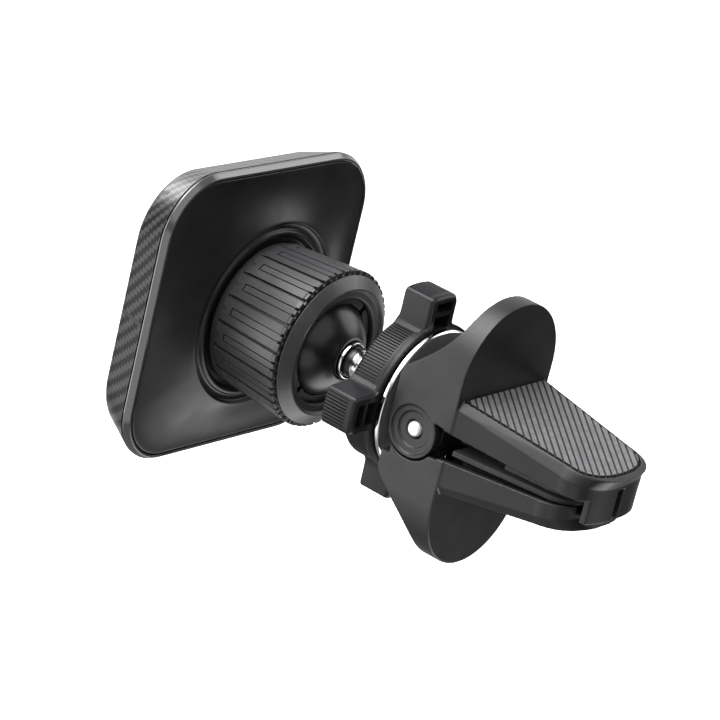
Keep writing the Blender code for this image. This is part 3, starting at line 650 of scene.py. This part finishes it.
def make_lug(turn):
    """One hollow lug, drawn pointing up and then turned about the Y axis."""
    low, high = LOCK_NUT_BACK_Y + 0.15, LOCK_NUT_FRONT_Y - 0.05
    steps = [(low, 0.35), (low + 0.12, 0.12), (low + 0.35, 0.0), (high - 0.9, 0.0), (high - 0.5, 0.1),
             (high - 0.2, 0.3), (high - 0.03, 0.6), (high, 0.95)]
    loops = []
    for y, inset in steps:
        side = min(inset, 0.3)
        points = []
        for x, z in lug_outline():
            if z > 14.8:
                x -= math.copysign(min(side, abs(x)), x)
                z -= inset * max(0.0, min(1.0, (z - 17.0) / 3.0))
            points.append((x, y, z))
        loops.append(points)
    lug = skin("lug", loops, NUT_GRAPHITE)
    lug.data.shade_flat()
    grooves = bmesh.new()
    for i in range(10):
        place = Matrix.Translation(Vector((-2.95 + i * 0.656, low + 2.2, LUG_RADIUS - 0.02)) * MM)
        bmesh.ops.create_cube(grooves, size=1, matrix=place @ Matrix.Diagonal(
            (0.24 * MM, 6.4 * MM, 0.8 * MM, 1.0)))
    boolean(lug, new_object("lug_grooves", mesh_of(grooves, "lug_grooves", False), NUT_GRAPHITE))
    lug.data.transform(Matrix.Rotation(turn, 4, "Y"))
    return lug


def make_lock_nut():
    ribs_front = 52.0
    columns = [((rib + place) * 360 / RIBS, depth) for rib in range(RIBS) for place, depth in RIB_PLACES]
    profile = [(12.6, 46.85, 0), (12.9, 46.8, 0), (14.0, 46.8, 0), (14.25, 46.88, 0.0), (14.42, 47.05, 0.0),
               (14.55, 47.25, 0.0), (14.58, 47.32, 1), (14.6, 47.6, 1)]
    profile += [(14.6, 47.6 + (ribs_front - 47.6) * i / 5, 1) for i in range(1, 6)]
    profile += [(14.6, ribs_front + 0.08, 0), (14.6, 52.85, 0), (14.63, 52.95, 0), (14.98, 53.02, 0),
                (15.07, 53.1, 0), (15.1, 53.25, 0), (15.1, 53.85, 0), (15.04, 54.02, 0), (14.9, 54.1, 0),
                (8.5, 54.1, 0), (8.32, 54.0, 0), (8.3, 53.8, 0), (8.3, 47.6, 0), (8.5, 47.5, 0),
                (10.4, 47.5, 0), (10.5, 52.1, 0), (12.5, 52.1, 0), (12.6, 52.0, 0)]
    loops = []
    for radius, y, ribbed in profile:
        loops.append([((radius - depth * ribbed) * math.sin(math.radians(turn)), y,
                       (radius - depth * ribbed) * math.cos(math.radians(turn))) for turn, depth in columns])
    nut = skin("ribbed_lock_nut", loops, NUT_GRAPHITE, ring=True)
    for quarter in range(4):
        boolean(nut, make_lug(LUG_TURN + quarter * math.pi / 2), "UNION")
    for quarter in range(4):
        turn = LUG_TURN + quarter * math.pi / 2
        for height, low in LUG_WINDOWS:
            centre = low + height / 2
            middle = (centre * math.sin(turn), LOCK_NUT_FRONT_Y - 2.6, centre * math.cos(turn))
            boolean(nut, box("window", (LUG_WIDTH - 3.0, 6.0, height), middle, (0, turn, 0)))
    nut.data.shade_smooth()
    nut.data.materials.clear()
    nut.data.materials.append(NUT_GRAPHITE)
    nut.data.set_sharp_from_angle(angle=math.radians(38))
    even_normals(nut)
    return stand_in(nut, "lock_nut", "graphite_plastic", "clip_lock_nut")


def make_thrust_ring():
    profile = filleted([(14.1, 55.68), (14.4, 55.42, 0.12), (14.4, 54.7, 0.12), (14.12, 54.4, 0.1),
                        (8.6, 54.4, 0.1), (8.5, 54.5, 0.05), (8.5, 55.7, 0.1), (14.05, 55.7)], 0.08, 4)
    ring = lathe("chrome_thrust_ring", profile, TURNED_CHROME, 160, closed=True)
    ring.data.materials.append(SATIN_FACE)
    for face in ring.data.polygons:
        if abs(face.normal.y) > 0.95:
            face.material_index = 1
    return stand_in(even_normals(ring), "thrust_ring", "chrome", "thrust_ring")


def make_pin():
    profile = filleted([(0.01, -13.6), (1.15, -13.58, 0.2), (1.5, -13.2, 0.3), (1.5, 13.2, 0.3),
                        (1.15, 13.58, 0.2), (0.01, 13.6)], 0.2, 5)
    pin = lathe("polished_pin", profile, PIN_STEEL, 64)
    pin.data.transform(Matrix.Translation((0, PIN_Y * MM, 0)) @ Matrix.Rotation(-math.pi / 2, 4, "Z"))
    return stand_in(even_normals(pin), "clip_core", "plain_steel", "hinge_pin")


# ---------------------------------------------------------------- jaws
# Drawn from the pin's axis: "ahead" is along Y, side is +1 for the upper jaw and -1 for the lower.
# The CAD's nose has no undercut, and its teeth start 1 mm further ahead.
NOSE_UNDERCUT = 1.3
TEETH_BACK, TEETH_FRONT, TEETH_LOW, TEETH_HIGH = 35.3, 39.0, -3.6, 3.0


PAD_SLOPE = 0.129


def inner_level(ahead):
    return 2.8 - 0.06 * (ahead - 6.4)


def side_level(ahead):
    return 7.6 - 0.146 * (ahead - PADDLE_FRONT)


def pad_level(ahead):
    return 9.3 - PAD_SLOPE * (ahead - PADDLE_FRONT)


NOSE_STEPS = 36


def arm_outline(start, inset=0.0, shorter=0.0, tip_cut=None):
    nose_start = NOSE_START - shorter
    taper = (JAW_HALF_WIDTH - NOSE_HALF_WIDTH) / (NOSE_START - PADDLE_FRONT)
    half = NOSE_HALF_WIDTH - inset + taper * shorter
    length = NOSE_LENGTH - (inset if tip_cut is None else tip_cut)
    right = [(min(half + taper * (nose_start - start), JAW_HALF_WIDTH - inset), start)]
    for i in range(NOSE_STEPS + 1):
        angle = math.pi / 2 * i / NOSE_STEPS
        right.append((half * math.cos(angle) ** 0.8, nose_start + length * math.sin(angle) ** 0.8))
    right[-1] = (0, nose_start + length)
    return right + [(-across, ahead) for across, ahead in right[-2::-1]]


def arm_loft(name, layers, side, material=None):
    """Layers are (outline, level function, offset) from inside to outside."""
    loops = [[(x, PIN_Y + ahead, side * (level(ahead) + offset)) for x, ahead in outline]
             for outline, level, offset in layers]
    thing = skin(name, loops, material or GRAPHITE)
    thing.data.shade_flat()
    return thing


def spline(points, steps):
    """Catmull-Rom curve through the points."""
    result = []
    padded = [points[0]] + list(points) + [points[-1]]
    for p, q, r, s in zip(padded, padded[1:], padded[2:], padded[3:]):
        for i in range(steps):
            t = i / steps
            result.append(tuple(0.5 * (2 * b + (c - a) * t + (2 * a - 5 * b + 4 * c - d) * t * t
                                       + (3 * b - a - 3 * c + d) * t ** 3)
                                for a, b, c, d in zip(p, q, r, s)))
    result.append(points[-1])
    return result


def arc(centre, radius, start, end, steps):
    angles = [math.radians(start + (end - start) * i / steps) for i in range(steps + 1)]
    return [(centre[0] + radius * math.cos(a), centre[1] + radius * math.sin(a)) for a in angles]


def make_jaw(name, side, shorter):
    ramp = [(-5.4, 9.4), (-5.1, 10.4)] + spline([(-4.3, 11.5), (-1.9, 13.5), (0.3, 15.6), (2.3, 18.0),
                                                (3.7, 20.8), (4.2, 23.8), (4.3, PADDLE_TOP)], 8)
    outline = ramp + [(PADDLE_FRONT, PADDLE_TOP), (PADDLE_FRONT, 3.0), (4.3, 3.3)] \
        + arc((0, 0), EYE_RADIUS, 30, -180, 48)
    jaw = prism(name, [(PIN_Y + a, side * b) for a, b in outline], -JAW_HALF_WIDTH, JAW_HALF_WIDTH, "X")
    dome = [(x, side * z) for x, z in [(JAW_HALF_WIDTH, -9.0)]
            + arc((0, PADDLE_TOP - JAW_HALF_WIDTH), JAW_HALF_WIDTH, 0, 180, 96) + [(-JAW_HALF_WIDTH, -9.0)]]
    boolean(jaw, prism("dome", dome, PIN_Y - 30, PIN_Y + 30, "Y"), "INTERSECT")
    start = PADDLE_FRONT - 1.6
    plain = arm_outline(start, 0.02, shorter, NOSE_UNDERCUT)
    top = arm_outline(start, RIM_WIDTH - 0.3, shorter, 0.0)
    arm = [(plain, inner_level, 0), (plain, side_level, 0), (top, pad_level, 0)]
    boolean(jaw, arm_loft("arm", arm, side), "UNION")
    half = 11.15 if side > 0 else 8.3
    cavity = [(-7.5, -7.5), (-7.5, 8.2), (-3.9, 9.2), (-0.6, 12.0), (3.2, 16.2), (4.6, 18.0), (6.0, 18.0),
              (6.0, -7.5)]
    boolean(jaw, prism("cavity", [(PIN_Y + a, side * b) for a, b in cavity], -half, half, "X"))
    boolean(jaw, cylinder("scoop", 10.0, 14.0, (0, PIN_Y - 12.3, side * 13.0), "Z", 128))
    boolean(jaw, cylinder("pin_hole", 1.8, 40.0, (0, PIN_Y, 0), "X", 64))
    pocket = arm_outline(PADDLE_FRONT + 0.01, RIM_WIDTH, shorter)
    boolean(jaw, arm_loft("pocket", [(pocket, pad_level, -PAD_DEPTH), (pocket, pad_level, 2.0)], side))
    liner = arm_outline(start - 2.0, 1.1, shorter)
    boolean(jaw, arm_loft("liner_pocket", [(liner, inner_level, -4.0),
                                           (liner, inner_level, POCKET_DEPTH)], side))
    return jaw


def make_upper_jaw():
    jaw = make_jaw("upper_vent_jaw", 1, 0.0)
    nose = [(x, PIN_Y + ahead) for x, ahead in arm_outline(PADDLE_FRONT, 0.02, tip_cut=NOSE_UNDERCUT)]
    for centre in (-4.3, 4.3):
        tooth = box("tooth", (6.8, TEETH_FRONT - TEETH_BACK, TEETH_HIGH - TEETH_LOW),
                    (centre, PIN_Y + (TEETH_FRONT + TEETH_BACK) / 2, (TEETH_HIGH + TEETH_LOW) / 2))
        boolean(tooth, prism("trim", nose, -15, 15, "Z"), "INTERSECT")
        boolean(jaw, tooth, "UNION")
    for edge in (-1, 1):
        for radius, depth in ((4.75, 0.5), (3.5, 0.9)):
            boolean(jaw, cylinder("eye_step", radius, 4.0,
                                  (edge * (JAW_HALF_WIDTH - depth + 2.0), PIN_Y, 0), "X"))
    soften(jaw)
    jaw.data.materials.clear()
    jaw.data.materials.append(GRAPHITE)
    return stand_in(jaw, "upper_jaw", "graphite_plastic", "upper_jaw")


def make_lower_jaw():
    jaw = make_jaw("lower_vent_jaw", -1, LOWER_NOSE_SHORTER)
    width = 6.0
    for edge in (-1, 1):
        middle = edge * (10.85 + width / 2)
        boolean(jaw, cylinder("eye_recess", EYE_RADIUS + 0.35, width, (middle, PIN_Y, 0), "X"))
        boolean(jaw, box("cheek_relief", (width, 3.9, 9.0), (middle, PIN_Y - 5.55, -1.7)))
    soften(jaw)
    jaw.data.materials.clear()
    jaw.data.materials.append(GRAPHITE)
    return stand_in(jaw, "lower_jaw", "graphite_plastic", "lower_jaw")


GROOVE_PITCH, GROOVE_SLANT = 1.3, math.radians(48.2)
PAD_GROOVE_WIDTH, PAD_GROOVE_CUT, PAD_GROOVE_LENGTH = 0.38, 1.1, 60


def make_grip_pad(name, node, body, side, shorter):
    """Soft thumb pad with fine grooves across it at a slant."""
    plan = arm_outline(PADDLE_FRONT + 0.35, RIM_WIDTH + 0.5, shorter)
    pad = arm_loft(name, [(plan, pad_level, -0.9), (plan, pad_level, 0.1)], side, PAD_RUBBER)
    tilt = math.atan(PAD_SLOPE)
    middle_ahead = PADDLE_FRONT + 15.0
    cuts = bmesh.new()
    for i in range(-16, 17):
        along = Matrix.Rotation(GROOVE_SLANT, 4, "Z")
        shift = Matrix.Translation(Vector((0, i * GROOVE_PITCH, 0)) * MM)
        place = (Matrix.Translation(Vector((0, PIN_Y + middle_ahead,
                                            side * (pad_level(middle_ahead) + 0.1))) * MM)
                 @ Matrix.Rotation(-side * tilt, 4, "X") @ along @ shift)
        size = Matrix.Diagonal((PAD_GROOVE_LENGTH * MM, PAD_GROOVE_WIDTH * MM, PAD_GROOVE_CUT * MM, 1.0))
        bmesh.ops.create_cube(cuts, size=1, matrix=place @ size)
    boolean(pad, new_object("cuts", mesh_of(cuts, "cuts", False), PAD_RUBBER))
    pad.data.materials.clear()
    pad.data.materials.append(PAD_RUBBER)
    pad.data.materials.append(GROOVE_SHADE_RUBBER)
    # Painted shade: faces below the pad's top, in the grooves, take the darker rubber.
    for face in pad.data.polygons:
        centre = face.center / MM
        if side * centre.z < pad_level(centre.y - PIN_Y) + 0.04:
            face.material_index = 1
    bevelled(pad, 0.05, 2)
    return stand_in(pad, body, "black_rubber", node)


def make_liner(name, node, body, side, start, shorter):
    def near(ahead):
        return 0.55 - 0.01 * (ahead - PADDLE_FRONT)
    plate, key = arm_outline(start, 1.5, shorter), arm_outline(start + 1.0, 4.0, shorter)
    liner = arm_loft(name, [(plate, near, 0), (plate, near, 1.0)], side, LINER_RUBBER)
    boolean(liner, arm_loft("key", [(key, near, 0.5), (key, inner_level, POCKET_DEPTH - GAP)], side), "UNION")
    liner.data.materials.clear()
    liner.data.materials.append(LINER_RUBBER)
    bevelled(liner, 0.15, 3)
    return stand_in(liner, body, "black_rubber", node)


# ---------------------------------------------------------------- carried-over CAD nodes


def finish_node(name, material, width=0.12):
    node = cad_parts[name]
    node.data.materials.clear()
    node.data.materials.append(material)
    if width:
        weld = node.modifiers.new("weld", "WELD")
        weld.merge_threshold = 0.001 * MM
        node.data.shade_smooth()
        bevelled(node, width, 2, 35)


def build():
    make_shell()
    make_bezel()
    make_cover()
    make_face_pad()
    make_knob()
    make_ball()
    make_stud()
    make_lock_nut()
    make_thrust_ring()
    make_pin()
    make_upper_jaw()
    make_lower_jaw()
    make_grip_pad("upper_thumb_pad", "upper_grip_pad", "upper_jaw", 1, 0.0)
    make_grip_pad("lower_thumb_pad", "lower_grip_pad", "lower_jaw", -1, LOWER_NOSE_SHORTER)
    make_liner("upper_blade_liner", "upper_liner", "upper_jaw", 1, 19.5, 3.4)
    make_liner("lower_blade_liner", "lower_liner", "lower_jaw", -1, PADDLE_FRONT + 0.4, LOWER_NOSE_SHORTER)
    finish_node("hinge_core", GRAPHITE, 0.2)
    # The socket sits deep in the knob's gap; its near-black colour is painted shade.
    finish_node("ball_socket", SHADED_RECESS_BLACK, 0.1)
    finish_node("compression_ring", NYLON, 0.1)
    finish_node("ball_seat", NYLON, 0.0)
    finish_node("steel_yoke_plate", STEEL, 0.1)
    finish_node("stud_screw", STEEL, 0.0)
    finish_node("torsion_spring", SPRING, 0.0)
    for number in range(1, 5):
        finish_node(f"socket_screw_{number}", STEEL, 0.0)
        finish_node(f"magnet_{number}", MAGNET, 0.15)


build()

# ---------------------------------------------------------------- studio


def stage_plane(name, size, place, material):
    shape = bmesh.new()
    bmesh.ops.create_grid(shape, x_segments=1, y_segments=1, size=size)
    thing = new_object(name, mesh_of(shape, name, False), material)
    thing.location = place
    return thing


def floor_material():
    n = Nodes("pale_floor")
    n.put(n.shader.inputs["Base Color"], n.mix(n.noise(3.0, 2.0), (0.8, 0.8, 0.8), (0.82, 0.82, 0.82)))
    n.set(Roughness=0.9, Emission_Color=(1, 1, 1, 1), Emission_Strength=0.62, Specular_IOR_Level=0.0)
    return n.material


def backdrop_material():
    n = Nodes("white_backdrop")
    n.put(n.shader.inputs["Base Color"], n.mix(n.noise(0.5, 1.0), (0.0, 0.0, 0.0), (0.01, 0.01, 0.01)))
    n.set(Roughness=1.0, Emission_Color=(1, 1, 1, 1), Emission_Strength=1.0, Specular_IOR_Level=0.0)
    return n.material


def make_stage():
    floor = stage_plane("floor", 12.0, (0, 0, -0.12), floor_material())
    shape = bmesh.new()
    bmesh.ops.create_uvsphere(shape, u_segments=48, v_segments=24, radius=4.5)
    dome = new_object("backdrop", mesh_of(shape, "backdrop"), backdrop_material())
    for thing in (floor, dome):
        thing.visible_glossy = False
        thing.visible_shadow = False
        thing.visible_diffuse = False
        thing.visible_transmission = False


def make_world():
    """Soft surroundings: brightness as a few smooth lobes over the directions."""
    world = bpy.data.worlds.new("studio")
    bpy.context.scene.world = world
    world.use_nodes = True
    tree = world.node_tree
    tree.nodes.clear()
    output = tree.nodes.new("ShaderNodeOutputWorld")
    background = tree.nodes.new("ShaderNodeBackground")
    tree.links.new(background.outputs[0], output.inputs[0])
    direction = tree.nodes.new("ShaderNodeTexCoord").outputs["Generated"]
    lobes = [  # direction, cosine where it starts, cosine where it is full, brightness
        ((-0.766, -0.60, 0.05), 0.55, 0.9, 0.85),
        ((0.4, -0.36, 0.84), 0.74, 0.93, 4.3),
        ((0.77, -0.55, -0.33), 0.7, 0.92, 1.1),
        ((-0.36, 0.48, -0.80), 0.86, 0.95, 3.6),
        ((-0.77, 0.38, 0.52), 0.90, 0.96, 3.2),
        ((0.77, 0.50, -0.36), 0.9, 0.97, 1.3),
        ((0.45, 0.52, 0.72), 0.76, 0.9, 1.2),
        ((-0.20, -0.87, 0.45), 0.93, 0.985, 7.0),
        ((0.2, -0.2, -0.95), 0.3, 0.9, 0.3),
    ]
    total = None
    for towards, start, full, brightness in lobes:
        dot = tree.nodes.new("ShaderNodeVectorMath")
        dot.operation = "DOT_PRODUCT"
        tree.links.new(direction, dot.inputs[0])
        dot.inputs[1].default_value = Vector(towards).normalized()
        ramp = tree.nodes.new("ShaderNodeMapRange")
        ramp.interpolation_type = "SMOOTHSTEP"
        ramp.inputs["From Min"].default_value = start
        ramp.inputs["From Max"].default_value = full
        ramp.inputs["To Max"].default_value = brightness
        tree.links.new(dot.outputs["Value"], ramp.inputs["Value"])
        if total is None:
            total = ramp.outputs[0]
        else:
            add = tree.nodes.new("ShaderNodeMath")
            tree.links.new(total, add.inputs[0])
            tree.links.new(ramp.outputs[0], add.inputs[1])
            total = add.outputs[0]
    base = tree.nodes.new("ShaderNodeMath")
    base.inputs[1].default_value = 0.05
    tree.links.new(total, base.inputs[0])
    tree.links.new(base.outputs[0], background.inputs["Strength"])


LIGHT_TARGET = (0, 0.045, 0)


def make_light(name, towards, distance, size, power):
    data = bpy.data.lights.new(name, "AREA")
    data.shape = "RECTANGLE"
    data.size, data.size_y = size
    data.energy = power
    lamp = bpy.data.objects.new(name, data)
    bpy.context.scene.collection.objects.link(lamp)
    back = Vector(towards).normalized()
    lamp.location = Vector(LIGHT_TARGET) + back * distance
    lamp.rotation_euler = back.to_track_quat("Z", "Y").to_euler()
    return lamp


def make_camera():
    back = Vector((0.76579, 0.52999, 0.36425)).normalized()
    azimuth, roll = math.atan2(back.x, -back.y), math.radians(13.78)
    level = Vector((math.cos(azimuth), math.sin(azimuth), 0))
    upright = back.cross(level)
    right = math.cos(roll) * level + math.sin(roll) * upright
    up = back.cross(right)
    camera = bpy.data.objects.new("camera", bpy.data.cameras.new("camera"))
    bpy.context.scene.collection.objects.link(camera)
    camera.matrix_world = Matrix(((right.x, up.x, back.x, 0.4723), (right.y, up.y, back.y, 0.3650),
                                  (right.z, up.z, back.z, 0.2256), (0, 0, 0, 1)))
    camera.data.sensor_width = 36.0
    camera.data.lens = 162.84
    camera.data.clip_end = 100.0
    bpy.context.scene.camera = camera


make_stage()
make_world()
make_light("top_softbox", (0.35, -0.3, 0.9), 0.5, (0.35, 0.35), 2.2)
make_light("side_softbox", (0.8, -0.75, -0.1), 0.6, (0.3, 0.5), 1.2)
make_camera()
bpy.context.scene.view_settings.view_transform = "Standard"
